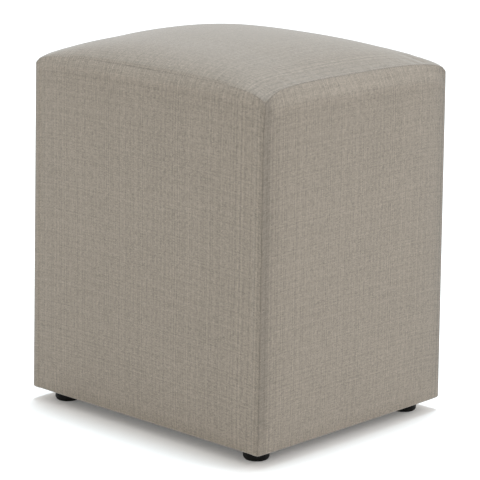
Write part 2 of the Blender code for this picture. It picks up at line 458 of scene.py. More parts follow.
def baking_map(flat):
    """(outer, beyond the walls, inner) places in a unit square: the outer sheet as large as it goes, its
    walls as a narrow frame round it, and the hidden inner sheet squeezed in the strip that is left."""
    low, high = flat.min((0, 1)), flat.max((0, 1))
    size = high - low
    scale = MAP_SHARE / size.max()
    outer = MAP_MARGIN + (flat - low) * scale
    strip_low = np.array([MAP_MARGIN, MAP_MARGIN])
    strip_high = strip_low + size * scale
    axis = 0 if size[0] < size[1] else 1  # the strip is beside a tall sheet, and above a wide one
    strip_low[axis], strip_high[axis] = MAP_MARGIN * 2 + size.min() * scale, 1 - MAP_MARGIN / 2
    inner = strip_low + (flat - low) / size * (strip_high - strip_low)
    return outer, pushed_out(outer, MAP_MARGIN / 3), inner


def corner_places(faces, outer, beyond, inner):
    """Map places of all face corners, in the order of the faces: outer sheet, inner sheet, walls."""
    count = outer.shape[0] * outer.shape[1]
    outer, beyond, inner = (one.reshape(-1, 2) for one in (outer, beyond, inner))
    front, back, walls = faces
    on_walls = np.concatenate([outer[walls[:, :2]], beyond[walls[:, 2:] - count]], axis=1)
    return np.concatenate([outer[front], inner[back - count], on_walls]).reshape(-1, 2)


def make_object(name, points, faces, finish=None):
    """An object at the origin, with its place in its mesh, smooth but for edges over SHARP_ANGLE."""
    mesh = bpy.data.meshes.new(name)
    mesh.from_pydata(np.asarray(points, float).tolist(), [], [list(map(int, one)) for one in faces])
    mesh.shade_smooth()
    mesh.set_sharp_from_angle(angle=SHARP_ANGLE)
    if finish:
        mesh.materials.append(finish)
    made = bpy.data.objects.new(name, mesh)
    bpy.context.scene.collection.objects.link(made)
    return made


def turned_quarters(points, quarters):
    """Points turned about Z by that many quarters, exactly: a quarter takes (x, y) to (-y, x)."""
    for _ in range(quarters % 4):
        points = np.stack([-points[..., 1], points[..., 0], points[..., 2]], axis=-1)
    return points


def make_pad(name, outer, inner, quarters=0, finish=None):
    """A closed pad between two sheets of as many points, turned about Z by that many quarters."""
    points = turned_quarters(np.concatenate([outer.reshape(-1, 3), inner.reshape(-1, 3)]), quarters)
    return make_object(name, points, np.concatenate(pad_faces(*outer.shape[:2])), finish)


# ---- The filling, by cloth simulation ----

FILL_FRAMES, FILL_QUALITY, FILL_STIFFNESS = 20, 6, 1.0
HELD = 2  # the rows and columns at a form's rim that are held


def filled_out(name, shape, outer, inner):
    """How far each point of a form's outer sheet moves when its filling presses on it, (rows, columns, 3).

    The form is a closed pad. Its inner sheet, walls and rim are held, the rest is cloth under pressure
    with no gravity, and the length d of each move is capped softly: cap tanh(d / cap).
    """
    count = outer.shape[0] * outer.shape[1]
    form = make_pad(name + "_form", outer, inner)
    free = np.zeros(outer.shape[:2], bool)
    free[HELD:-HELD, HELD:-HELD] = True
    held = np.concatenate([np.flatnonzero(~free), np.arange(count, 2 * count)])
    form.vertex_groups.new(name="held").add(held.tolist(), 1.0, "REPLACE")
    cloth = form.modifiers.new("filling", "CLOTH")
    cloth.point_cache.frame_start, cloth.point_cache.frame_end = 1, FILL_FRAMES
    cloth.collision_settings.use_collision = False
    settings = cloth.settings
    settings.vertex_group_mass = "held"
    settings.use_pressure = True
    settings.uniform_pressure_force = shape.pressure
    settings.effector_weights.gravity = 0.0
    settings.quality = FILL_QUALITY
    settings.bending_stiffness = FILL_STIFFNESS
    scene = bpy.context.scene
    for number in range(1, FILL_FRAMES + 1):
        scene.frame_set(number)
    settled = form.evaluated_get(bpy.context.evaluated_depsgraph_get())
    places = np.empty(len(settled.data.vertices) * 3, np.float32)
    settled.data.vertices.foreach_get("co", places)
    moved = places.reshape(-1, 3)[:count].reshape(outer.shape).astype(float) - outer
    mesh = form.data
    bpy.data.objects.remove(form, do_unlink=True)
    bpy.data.meshes.remove(mesh)
    scene.frame_set(1)
    far = np.linalg.norm(moved, axis=-1, keepdims=True)
    return moved * shape.swell * np.tanh(far / shape.swell) / np.maximum(far, 1e-9)


def with_filling(name, shape, sheets_for, lines_for):
    """(outer, inner, lines up, lines across) of a finished cover, moved as its simulated form moves.

    lines_for(grid) gives the lines up and across, and sheets_for(up, across, filled) both sheets on them.
    The simulation starts from a form without its swell.
    """
    fine, coarse = lines_for(FINE), lines_for(FORM)
    outer, inner = sheets_for(*coarse, 0.0)
    moves = filled_out(name, shape, outer, inner)
    moves = on_new_lines(moves, coarse[0][0], fine[0][0])
    moves = on_new_lines(moves.swapaxes(0, 1), coarse[1][0], fine[1][0]).swapaxes(0, 1)
    outer, inner = sheets_for(*fine, 0.0)
    return outer + moves, inner, *fine


# ---- The sewn detail: allowances, puckers and eased edges ----

# The power of a top edge's rounding, and where it starts and is full, from the end of its seam.
EASE_POWER, EASE_STARTS, EASE_FULL = 1.6, 0.060, 0.003
TIP_RADIUS, TIP_REACH = 0.0020, 0.0052  # a top corner is rounded by this much, over this far along its seams
TIP_SHARE = 0.98  # of the whole circle, whose end would be upright
LOW_CORNER, LOW_SPREAD = (0.0023, 0.0008, -0.0034), 0.0200  # how the front right top corner hangs
# Distances from a corner seam over which the left and right covers rise, the front and back ones turn in and
# the left and right ones slide, and from a top seam over which the top cover's rim follows them.
DIP_FADE, SINK_FADE, TUCK_FADE, SLIDE_FADE = 0.005, 0.013, 0.0042, 0.007
RIM_FADE, STAND_FADE = 0.006, 0.010
CLEAR, CLEAR_OF_TOP = 0.022, 0.014  # what runs along a seam is in full this far from the seam at its end
SOFT_STEP, BROAD_STEP = 0.0022, 0.0045  # half the width of the step where an allowance ends
# How far the ends of the allowances wander, at the corners and at the top, and with what wave lengths.
CORNER_DRIFT, TOP_DRIFT = (0.0011, (0.043, 0.071, 0.123)), (0.0012, (0.037, 0.059, 0.101))
PUCKER_PEAK = 0.006
# Wave lengths of the puckers: across and up a side cover, then across and along the top cover.
PUCKERS_X, PUCKERS_Z = (0.0131, 0.0187, 0.0313), (0.0149, 0.0211, 0.0367)
RIM_PUCKERS_X, RIM_PUCKERS_Y = (0.0141, 0.0203, 0.0341), (0.0137, 0.0193, 0.0331)
# The lines of painted shade beside the seams at a cover's sides, darkening the cloth's colour where shade
# falls in their hollows: (share, distance, width) of each.
TOP_SHADE_LINES, FRONT_SHADE_LINES = [(0.35, 0.0, 0.018)], [(0.50, 0.0, 0.0055)]
FLANK_SHADE_LINES = [(1.0, 0.0, 0.015), (0.28, 0.0, 0.045), (0.45, 0.0075, 0.0028)]
# Shares, and the distances from the top seam between which they change: what the painted shade on the left and
# right covers loses low down, and how much painted light brightens the cloth over the allowance pressed down
# at the top.
FLANK_LOSS, FLANK_PAINTED_LIGHT, FRONT_PAINTED_LIGHT = (0.5, 0.375, 0.42), (0.58, 0.017, 0.026), (0.35, 0.011, 0.017)


def eased(shape, seams, points):
    """Points with the top edges rounded inwards, less towards the corners: near a top seam, x or y moves
    in by the eased distance times a power of how far up the eased height a point is. Each top corner is
    rounded on a circle, and the front right one hangs a little lower. All covers follow it alike."""
    halves = shape.width / 2 - shape.taper, shape.depth / 2 - shape.taper
    arches = [arch(np.clip(points[..., axis] / halves[axis], -1, 1)) for axis in (0, 1)]
    below = top_line(shape, *arches) - points[..., 2]
    inset = [halves[axis] - np.abs(points[..., axis]) for axis in (0, 1)]
    tip = 1 - np.sqrt(1 - np.clip(1 - below / TIP_RADIUS, 0, 1) ** 2 * TIP_SHARE)
    edges = (seams.eased, seams.eased_height), (seams.front_eased, seams.front_eased_height)
    moved = points.copy()
    for axis, (amount, tall) in enumerate(edges):
        near = smooth(halves[axis] - EASE_STARTS, halves[axis] - EASE_FULL, np.abs(points[..., axis]))
        by = amount * np.clip(1 - below / tall, 0, 1) ** EASE_POWER * near * arches[1 - axis]
        near = smooth(TIP_RADIUS * 2, 0.0, inset[axis]) * smooth(TIP_REACH, 0.0, inset[1 - axis])
        moved[..., axis] -= np.sign(points[..., axis]) * (by + TIP_RADIUS * tip * near)
    vertex = np.array([halves[0], -halves[1], shape.lift + shape.height])
    hang = np.exp(-(np.linalg.norm(points - vertex, axis=-1, keepdims=True) / LOW_SPREAD) ** 2)
    return moved + hang * np.array(LOW_CORNER)


def pucker_beside(distance, at, lengths, seed):
    """Waves along a seam, 0 at it, full at PUCKER_PEAK from it and 0 again far from it: t exp(1 - t)."""
    t = distance / PUCKER_PEAK
    return t * np.exp(1 - t) * waves(at, lengths, seed)


def banded(distance, width, soft, drift, at, seed):
    """1 over an allowance of that width and 0 past it, with a smooth step at its wandering end."""
    edge = width + drift[0] * waves(at, drift[1], seed)
    return 1 - smooth(edge - soft, edge + soft, distance)


def standing_out(seams, distance):
    """How far the left and right covers stand out at a distance from their corner seams."""
    dip, sink = seams.corner_dip, seams.corner_sink
    return dip * (1 - np.exp(-distance / DIP_FADE)) + sink * (1 - np.exp(-distance / SINK_FADE))


def with_side_detail(seams, quarters, outer, across, up, seed):
    """The outer sheet of a side cover that faces -Y, with its seam allowances and puckers.

    At the corners, the allowance is folded behind the front and back covers, which it lifts, and the left
    and right covers stand out beside the seam. At the top it is folded down. A lifted band is level up to
    its width and falls off in a smooth step there. Where two covers meet, both move alike.
    """
    from_corner, from_top = across[1], up[1][:, None]
    x, z = outer[..., 0], outer[..., 2]
    clear, clear_of_top = smooth(0.0, CLEAR, from_corner), smooth(0.0, CLEAR_OF_TOP, from_top)
    moved = outer.copy()
    if quarters % 2 == 0:
        ridge = banded(from_corner, seams.corner_width, SOFT_STEP, CORNER_DRIFT, z, seed)
        tuck = seams.corner_tuck * np.exp(-from_corner / TUCK_FADE)
        corner = (seams.corner_ridge * ridge - tuck) * clear_of_top
        band = seams.top_width, SOFT_STEP
    else:
        corner = standing_out(seams, from_corner)
        slide = (seams.corner_ridge - seams.corner_tuck) * np.exp(-from_corner / SLIDE_FADE) * clear_of_top
        moved[..., 0] += np.sign(x) * slide
        band = seams.side_width, BROAD_STEP
    top = seams.top_ridge * banded(from_top, *band, TOP_DRIFT, x, seed + 1)
    pucker = pucker_beside(from_top, x, PUCKERS_X, seed + 2) * clear
    pucker = pucker + pucker_beside(from_corner, z, PUCKERS_Z, seed + 3)
    moved[..., 1] -= corner + top * clear + seams.pucker * pucker
    return moved


def with_top_detail(seams, outer, across_x, across_y, seed):
    """The outer sheet of the top cover: its rim follows the band below the top seams, and the left and
    right covers beside the corner seams. Small puckers run beside its seams."""
    from_x, from_y = across_x[1], across_y[1][:, None]
    clear_x, clear_y = smooth(0.0, CLEAR, from_x), smooth(0.0, CLEAR, from_y)
    x, y = outer[..., 0], outer[..., 1]
    rim = seams.top_ridge * np.exp(-from_x / RIM_FADE) * clear_y
    moved = outer.copy()
    moved[..., 0] += np.sign(x) * (rim + standing_out(seams, from_y) * np.exp(-from_x / STAND_FADE))
    moved[..., 1] += np.sign(y) * seams.top_ridge * np.exp(-from_y / RIM_FADE) * clear_x
    pucker = pucker_beside(from_x, y, RIM_PUCKERS_Y, seed) * clear_y
    pucker = pucker + pucker_beside(from_y, x, RIM_PUCKERS_X, seed + 1) * clear_x
    moved[..., 2] += seams.pucker * pucker
    return moved


def painted_shading(name, from_sides, from_ends):
    """The painted shade beside a cover's seams, as a share by which its colour is darkened: the sum of soft
    lines, each its share times exp(-((d - distance) / width)^2), less painted light over the allowance pressed
    down below the top seam."""

    def summed(lines):
        return sum(much * np.exp(-(((from_sides - there) / width) ** 2)) for much, there, width in lines)

    def within(much, level, gone):
        return much * (1 - smooth(level, gone, from_ends)) * smooth(0.0, CLEAR, from_sides)

    if name == "top_cover":
        return summed(TOP_SHADE_LINES)
    if name in ("front_cover", "back_cover"):
        return summed(FRONT_SHADE_LINES) - within(*FRONT_PAINTED_LIGHT)
    much, starts, full = FLANK_LOSS
    return summed(FLANK_SHADE_LINES) * (1 - much * smooth(starts, full, from_ends)) - within(*FLANK_PAINTED_LIGHT)


def cover_object(name, node, outer, inner, from_sides, from_ends, quarters=0):
    """A finished cover as a closed pad that stands for its solid, with its flat cloth coordinates, a map
    for baking and each point's distance from the seams at its sides and its top (on the top cover, from
    those at its left and right and at its front and back)."""
    made = make_pad(name, outer, inner, quarters, cover_finish())
    flat, faces = spread_flat(outer), pad_faces(*outer.shape[:2])
    weave = corner_places(faces, flat, pushed_out(flat, bpy.context.scene.pouf_cover.pad), flat)
    for label, places in ((WEAVE_MAP, weave), (BAKING_MAP, corner_places(faces, *baking_map(flat)))):
        made.data.uv_layers.new(name=label).data.foreach_set("uv", places.astype(np.float32).ravel())
    made.data.uv_layers.active = made.data.uv_layers[WEAVE_MAP]
    made.data.uv_layers[WEAVE_MAP].active_render = True
    # The third attribute holds the painted shade beside the seams, and it is 0 on the inner sheet.
    fields = (from_sides, 1.0), (from_ends, 1.0), (painted_shading(name, from_sides, from_ends), 0.0)
    for label, (field, inside) in zip((SIDE_SEAM, TOP_SEAM, PAINTED_SHADE), fields):
        there = np.broadcast_to(field, outer.shape[:2]).ravel()
        values = np.concatenate([there, np.full(len(there), inside)]).astype(np.float32)
        made.data.attributes.new(label, "FLOAT", "POINT").data.foreach_set("value", values)
    stands_for(made, node)


def stands_for(made, node):
    """A piece rides on the body and stands for its solid, which is hidden."""
    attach(made, "root")
    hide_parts(node)


# ---- Materials ----


class Tree:
    """Short names for adding nodes to a node tree and joining them."""

    def __init__(self, tree):
        self.tree = tree

    def node(self, kind, inputs=None, **settings):
        """A node with its settings, and its inputs joined to sockets or set to plain values."""
        made = self.tree.nodes.new("ShaderNode" + kind)
        for key, value in settings.items():
            setattr(made, key, value)
        for key, value in (inputs or {}).items():
            self.join(value, made.inputs[key])
        return made

    def join(self, value, socket):
        if isinstance(value, bpy.types.NodeSocket):
            self.tree.links.new(value, socket)
        else:
            socket.default_value = value

    def math(self, operation, *values):
        return self.node("Math", dict(enumerate(values)), operation=operation).outputs[0]

    def plus(self, first, second):
        return self.math("ADD", first, second)

    def minus(self, first, second):
        return self.math("SUBTRACT", first, second)

    def times(self, value, gain, plus=None):
        """value times gain, plus another value where one is given."""
        if plus is None:
            return self.math("MULTIPLY", value, gain)
        return self.math("MULTIPLY_ADD", value, gain, plus)

    def vector(self, operation, inputs):
        return self.node("VectorMath", inputs, operation=operation).outputs[0]

    def parts(self, vector):
        return self.node("SeparateXYZ", {"Vector": vector}).outputs

    def place(self):
        return self.node("TexCoord").outputs["Object"]

    def attribute(self, name):
        return self.node("Attribute", attribute_name=name).outputs["Fac"]

    def group(self, group, inputs):
        return self.node("Group", inputs, node_tree=group).outputs

    def spread(self, value, low, high, to_low=0.0, to_high=1.0, kind="LINEAR"):
        """value taken from one range to another, and kept in it."""
        inputs = {"Value": value, "From Min": low, "From Max": high, "To Min": to_low, "To Max": to_high}
        return self.node("MapRange", inputs, interpolation_type=kind).outputs["Result"]

    def mix(self, factor, first, second, blend="MIX"):
        inputs = {0: factor, 6: first, 7: second}
        return self.node("Mix", inputs, data_type="RGBA", blend_type=blend, clamp_factor=True).outputs[2]

    def noise(self, dimensions, where, scale, detail=2.0, roughness=0.5):
        """A noise value around 0.5, read at one number (1D) or at a vector."""
        key = "W" if dimensions == "1D" else "Vector"
        inputs = {key: where, "Scale": scale, "Detail": detail, "Roughness": roughness}
        return self.node("TexNoise", inputs, noise_dimensions=dimensions).outputs["Fac"]

    def random(self, number):
        """A random value from 0 to 1 for each whole number."""
        return self.node("TexWhiteNoise", {"W": number}, noise_dimensions="1D").outputs["Value"]

    def dress(self, shader, colour, roughness, height, strength, distance):
        """Joins a colour, a roughness and a bump of that height to a Principled shader."""
        bump = self.node("Bump", {"Height": height, "Strength": strength, "Distance": distance})
        self.join(colour, shader.inputs["Base Color"])
        self.join(roughness, shader.inputs["Roughness"])
        self.join(bump.outputs["Normal"], shader.inputs["Normal"])


def new_group(name, inputs, outputs):
    """An empty shader node group whose inputs are numbers with those values, or vectors where there is
    none, and whose outputs are numbers: (its tree, its inputs, the sockets of its outputs)."""
    group = bpy.data.node_groups.new(name, "ShaderNodeTree")
    for label, value in inputs.items():
        kind = "NodeSocketVector" if value is None else "NodeSocketFloat"
        socket = group.interface.new_socket(label, in_out="INPUT", socket_type=kind)
        if value is not None:
            socket.default_value = value
    for label in outputs:
        group.interface.new_socket(label, in_out="OUTPUT", socket_type="NodeSocketFloat")
    return Tree(group), group.nodes.new("NodeGroupInput").outputs, group.nodes.new("NodeGroupOutput").inputs


# A yarn's seed, and how much its shade changes: by a tone of each thread's own, slowly along the thread,
# and from one crossing to the next.
WARP_YARN, WEFT_YARN = (3.0, 0.37, 0.54, 0.28), (517.0, 0.25, 0.78, 0.46)
NEIGHBOUR = 0.65  # how much of its neighbour's tone a thread's own one stands out from
WANDER, WANDER_SCALE = 0.00022, 55.0  # how far the threads wander, and the scale of that noise
WEFT_SLUB, WEFT_RUN = 0.35, 0.45  # the weft's slubs are shorter, and its shade holds over 1 / 0.45 crossings
SECTION, WAVE = (-2.4, 0.6), 0.4  # a thread's section, -2.4 x^2 + 0.6, and how far it goes up and down
WARP_SWELL, WEFT_SWELL = 0.35, 0.25  # how much thicker a slub is
BLEND, ON_TOP, HOLLOW = 0.15, 0.12, (-0.05, 0.55)  # how two threads blend, and the heights of a hollow
# How far apart two threads' noises and flecks start, and the noise where a slub starts and is full.
NOISE_START, FLECK_STEP, SLUB_NOISE = 37.0, 617.0, (0.42, 0.72)


def yarn(tree, index, crossing, place, slub, seed, own, slow, quick):
    """(shade, thickness) of a thread along its length: a tone of its own that stands out from a neighbour's,
    a slow change, and one from each crossing to the next."""
    tone, start, neighbour = (tree.random(tree.plus(index, seed + more)) for more in (0.0, 0.5, 2.0))
    run = tree.plus(tree.math("DIVIDE", place, slub), tree.times(start, NOISE_START))
    slub_run = tree.noise("1D", run, 1.0, detail=1.0)
    fleck = tree.random(tree.times(index, FLECK_STEP, tree.plus(crossing, seed)))
    tone = tree.times(neighbour, -NEIGHBOUR, tree.minus(tone, (1 - NEIGHBOUR) / 2))
    shade = tree.times(tree.minus(slub_run, 0.5), slow, tree.times(tone, own))
    shade = tree.times(tree.minus(fleck, 0.5), quick, shade)
    return shade, tree.spread(slub_run, *SLUB_NOISE, kind="SMOOTHSTEP")


def plain_weave_group():
    """Threads of a plain weave on flat cloth coordinates in metres, x across the warp and y along it.

    A thread's height is its round section plus a cosine that takes it over one crossing thread and under
    the next. The higher of the two threads gives the shade. Slubs are paler, thicker stretches of yarn.
    """
    inputs = {"Vector": None, "Pitch": 0.001, "Slub Length": 0.01}
    tree, inputs, out = new_group("plain_weave", inputs, ("Shade", "Height", "Hollow"))
    flat, pitch, slub = (inputs[label] for label in ("Vector", "Pitch", "Slub Length"))
    wander = tree.node("TexNoise", {"Vector": flat, "Scale": WANDER_SCALE, "Detail": 1.0}).outputs["Color"]
    wander = tree.vector("SUBTRACT", {0: wander, 1: (0.5, 0.5, 0.5)})
    place = tree.parts(tree.vector("ADD", {0: flat, 1: tree.vector("SCALE", {0: wander, "Scale": WANDER})}))
    across, up = (tree.math("DIVIDE", place[axis], pitch) for axis in "XY")
    warp, weft = tree.math("FLOOR", across), tree.math("FLOOR", up)
    in_warp, in_weft = (tree.minus(tree.minus(*pair), 0.5) for pair in ((across, warp), (up, weft)))
    over = tree.times(tree.math("PINGPONG", tree.plus(warp, weft), 1.0), 2.0, -1.0)

    def height_of(inside, along, rise, swell, thick):
        lift = tree.times(tree.math("COSINE", tree.times(along, math.pi)), over)
        section = tree.times(tree.times(inside, inside), *SECTION)
        return tree.times(thick, swell, tree.times(lift, rise, section))

    warp_shade, warp_thick = yarn(tree, warp, weft, place["Y"], slub, *WARP_YARN)
    runs = tree.math("FLOOR", tree.times(across, WEFT_RUN))
    weft_shade, weft_thick = yarn(tree, weft, runs, place["X"], tree.times(slub, WEFT_SLUB), *WEFT_YARN)
    high_warp = height_of(in_warp, in_weft, WAVE, WARP_SWELL, warp_thick)
    high_weft = height_of(in_weft, in_warp, -WAVE, WEFT_SWELL, weft_thick)
    height = tree.math("SMOOTH_MAX", high_warp, high_weft, BLEND)
    on_top = tree.spread(tree.minus(high_warp, high_weft), -ON_TOP, ON_TOP)
    tree.join(tree.node("Mix", {0: on_top, 2: weft_shade, 3: warp_shade}).outputs[0], out["Shade"])
    tree.join(height, out["Height"])
    tree.join(tree.spread(height, *HOLLOW, 1.0, 0.0), out["Hollow"])
    return tree.tree


def stitch_draw_group():
    """How the stitches of a hidden seam draw the cloth in: dimples one stitch apart that fade within
    about four millimetres of the seam."""
    inputs = {"Along": 0.0, "Distance": 1.0, "Stitch": 0.004}
    tree, inputs, out = new_group("stitch_draw", inputs, ("Dimple",))
    turn = tree.times(tree.math("DIVIDE", inputs["Along"], inputs["Stitch"]), 2 * math.pi)
    wave = tree.times(tree.math("COSINE", turn), 0.5, 0.5)
    near = tree.spread(inputs["Distance"], 0.0008, 0.0042, 1.0, 0.0, "SMOOTHSTEP")
    tree.join(tree.times(wave, near), out["Dimple"])
    return tree.tree


def fine_grain_group():
    """Fine uneven grain on Object coordinates: a height around 0.5 and a slow change from place to place."""
    tree, inputs, out = new_group("fine_grain", {"Grain": 900.0, "Patches": 25.0}, ("Height", "Patch"))
    place = tree.place()
    tree.join(tree.noise("3D", place, inputs["Grain"], 3.0, 0.6), out["Height"])
    tree.join(tree.noise("3D", place, inputs["Patches"], 3.0, 0.55), out["Patch"])
    return tree.tree


def new_material(name, **constants):
    """A material with a Principled shader whose constants are set on its own sockets: (material, tree,
    shader)."""
    made = bpy.data.materials.new(name)
    made.use_nodes = True
    shader = made.node_tree.nodes["Principled BSDF"]
    for label, value in constants.items():
        shader.inputs[label.replace("_", " ")].default_value = value
    return made, Tree(made.node_tree), shader


WOVEN_GAIN = 0.88  # how much of the way from the dark yarn to the light one the woven shade goes
# Painted shade in the weave's hollows: the colour they are darkened towards, and how far.
HOLLOW_SHADE_COLOUR, HOLLOW_SHADE_SHARE = (0.113, 0.099, 0.077, 1.0), 0.31
# The slower changes of the cloth's tone: the scale, detail and roughness of each noise, and its share.
TONES = ((260.0, 1.0, 0.5, 0.14), (14.0, 3.0, 0.6, 0.11), (95.0, 1.0, 0.5, 0.07))
DIMPLE, CLOTH_BUMP = 0.00022, 0.8  # the depth of a stitch's dimple, and the strength of the cloth's relief
SMOOTH_YARN, ROUGH_HOLLOW = 0.66, 0.90  # the cloth's roughness on the yarn and in the hollows


def cover_cloth_material(cloth, seams, weave, stitches):
    """Heathered upholstery cloth: woven yarn between two tones, painted shade in the hollows of the weave and
    beside the seams, painted light below the top seams, a soft bloom of fibre.
    """
    looks = {"Specular_IOR_Level": 0.40, "Sheen_Weight": 0.50, "Sheen_Roughness": 0.35}
    made, tree, shader = new_material("cover_cloth", **looks)
    flat = tree.node("UVMap", uv_map=WEAVE_MAP).outputs["UV"]
    woven = tree.group(weave, {"Vector": flat, "Pitch": cloth.pitch, "Slub Length": cloth.slub})
    tone = tree.times(woven["Shade"], WOVEN_GAIN, 0.5)
    for *noise, much in TONES:
        tone = tree.times(tree.minus(tree.noise("2D", flat, *noise), 0.5), much, tone)
    base = tree.mix(tone, (*cloth.dark_yarn, 1.0), (*cloth.light_yarn, 1.0))
    # Painted shade in the hollows between the threads.
    base = tree.mix(tree.times(woven["Hollow"], HOLLOW_SHADE_SHARE), base, HOLLOW_SHADE_COLOUR)
    # Painted shade darkens the colour beside the seams, and painted light brightens it over the allowance
    # below the top seam.
    base = tree.mix(1.0, base, tree.times(tree.attribute(PAINTED_SHADE), -seams.painted_shade_share, 1.0), "MULTIPLY")
    height = tree.times(woven["Height"], cloth.relief)
    for label, along in ((SIDE_SEAM, "Y"), (TOP_SEAM, "X")):
        inputs = {"Along": tree.parts(flat)[along], "Distance": tree.attribute(label), "Stitch": seams.stitch}
        height = tree.times(tree.group(stitches, inputs)["Dimple"], -DIMPLE, height)
    rough = tree.spread(woven["Hollow"], 0.0, 1.0, SMOOTH_YARN, ROUGH_HOLLOW)
    tree.dress(shader, base, rough, height, CLOTH_BUMP, 1.0)
    return made


def dust_cloth_material(underside, grain):
    """Black non-woven cloth: pressed fibres and a faint grid of the rollers that bonded it."""
    made, tree, shader = new_material("dust_cloth", Specular_IOR_Level=0.2, Sheen_Weight=0.15)
    fibre = tree.group(grain, {"Grain": 700.0, "Patches": 30.0})
    cells = tree.node("TexVoronoi", {"Vector": tree.place(), "Scale": 480.0, "Randomness": 0.25})
    pressed = tree.spread(cells.outputs["Distance"], 0.10, 0.45)
    tone = tree.spread(tree.plus(fibre["Height"], tree.times(fibre["Patch"], 0.5)), 0.45, 1.05)
    base = tree.mix(tone, (*underside.dust_cloth, 1.0), (*(3.0 * one for one in underside.dust_cloth), 1.0))
    height = tree.times(fibre["Height"], 0.5, pressed)
    tree.dress(shader, base, tree.spread(pressed, 0.0, 1.0, 0.70, 0.92), height, 0.6, 0.00015)
    return made


def foot_plastic_material(underside, grain):
    """Black moulded plastic: a fine spark-eroded grain, and dust and scuffs near the floor."""
    made, tree, shader = new_material("foot_plastic", Specular_IOR_Level=0.12)
    moulded = tree.group(grain, {"Grain": 2200.0, "Patches": 120.0})
    low = tree.spread(tree.parts(tree.place())["Z"], 0.0, 0.007, 1.0, 0.0, "SMOOTHSTEP")
    dusty = tree.times(low, tree.spread(moulded["Patch"], 0.35, 0.70))
    base = tree.mix(tree.times(dusty, 0.12), (*underside.plastic, 1.0), (0.085, 0.080, 0.072, 1.0))
    rough = tree.times(dusty, 0.25, tree.spread(moulded["Patch"], 0.2, 0.8, 0.38, 0.52))
    tree.dress(shader, base, rough, moulded["Height"], 0.5, 0.00006)
    return made


def shared(name, make, *given):
    """The node group or material of that name, made by its first user."""
    return bpy.data.materials.get(name) or bpy.data.node_groups.get(name) or make(*given)


def cover_finish():
    scene = bpy.context.scene
    groups = shared("plain_weave", plain_weave_group), shared("stitch_draw", stitch_draw_group)
    return shared("cover_cloth", cover_cloth_material, scene.pouf_cloth, scene.pouf_seams, *groups)


# ---- Operators ----

# Each light's direction, as degrees round from the front and degrees up, and its tint.
KEY_FROM, KEY_TINT = (210.0, 85.0), (0.745, 0.885, 1.0)
SIDE_FROM, SIDE_TINT, SIDE_SPREAD = (125.0, 35.0), (0.92, 0.93, 1.0), 2.5
WHITE = (1.0, 1.0, 1.0, 1.0)


def place_looking(name, data, azimuth, elevation, roll, place):
    """An object that looks at the stool from that far round from the front and that far up, turned about its
    own axis, and moved by `place` along its own axes (right, up, back) from the middle of the bottom edge."""
    turns = (azimuth, "Z"), (math.pi / 2 - elevation, "X"), (roll, "Z")
    round_z, up_x, rolled = (Matrix.Rotation(by, 4, axis) for by, axis in turns)
    scene = bpy.context.scene
    made = bpy.data.objects.new(name, data)
    scene.collection.objects.link(made)
    above_floor = Matrix.Translation((0.0, 0.0, scene.pouf_cover.lift))
    made.matrix_world = above_floor @ round_z @ up_x @ rolled @ Matrix.Translation(place)
    return made


def make_light(name, strength, softness, towards, tint):
    """A soft light that is far away in that direction."""
    light = bpy.data.lights.new(name, "SUN")
    light.energy, light.angle, light.color = strength, softness, tint
    place_looking(name, light, *np.radians(towards), 0.0, (0.0, 0.0, 3.0))


class POUF_OT_stage(bpy.types.Operator):
    """Make the pale floor, the soft studio lights and the camera"""

    bl_idname = "pouf.stage"
    bl_label = "Studio stage"

    def execute(self, context):
        scene, stage, half = context.scene, context.scene.pouf_stage, 14.0
        looks = {"Roughness": 0.9, "Specular_IOR_Level": 0.1, "Base_Color": (*stage.floor, 1.0)}
        looks.update(Emission_Color=WHITE, Emission_Strength=stage.glow)
        points = [(-half, -half, 0), (half, -half, 0), (half, half, 0), (-half, half, 0)]
        finish, _, _ = new_material("studio_floor", **looks)
        make_object("studio_floor", points, [(0, 1, 2, 3)], finish)
        scene.world = bpy.data.worlds.new("studio")
        scene.world.use_nodes = True
        even = scene.world.node_tree.nodes["Background"].inputs
        even["Color"].default_value, even["Strength"].default_value = WHITE, stage.surround
        make_light("key_light", stage.key, stage.softness, KEY_FROM, KEY_TINT)
        make_light("side_light", stage.side, stage.softness * SIDE_SPREAD, SIDE_FROM, SIDE_TINT)
        camera = bpy.data.cameras.new("camera")
        camera.lens, camera.sensor_width, camera.sensor_fit = stage.lens, 36.0, "AUTO"
        camera.clip_start, camera.clip_end = 0.05, 100.0
        place = stage.across, stage.above, stage.distance
        scene.camera = place_looking("camera", camera, stage.azimuth, stage.elevation, stage.roll, place)
        scene.view_settings.view_transform, scene.view_settings.look = "Standard", "None"
        return {"FINISHED"}


class POUF_OT_side_covers(bpy.types.Operator):
    """Make the four padded side covers, with their filling and the allowances of their seams"""

    bl_idname = "pouf.side_covers"
    bl_label = "Side covers"

    def execute(self, context):
        scene = context.scene
        shape, seams = scene.pouf_cover, scene.pouf_seams
        for name, node, quarters, seed in SIDES:
            ends = quarters % 2 == 0
            half, reach = (shape.width / 2, shape.depth / 2)[:: 1 if ends else -1]
            sheets = partial(side_sheets, shape, seams, half, reach, ends)
            lines = partial(side_lines, shape, seams, half)
            outer, inner, up, across = with_filling(name, shape, sheets, lines)
            outer = with_side_detail(seams, quarters, outer, across, up, seed)
            outer, inner = (
                turned_quarters(eased(shape, seams, turned_quarters(one, quarters)), 4 - quarters)
                for one in (outer, inner)
            )
            cover_object(name, node, outer, inner, across[1], up[1][:, None], quarters)
        return {"FINISHED"}


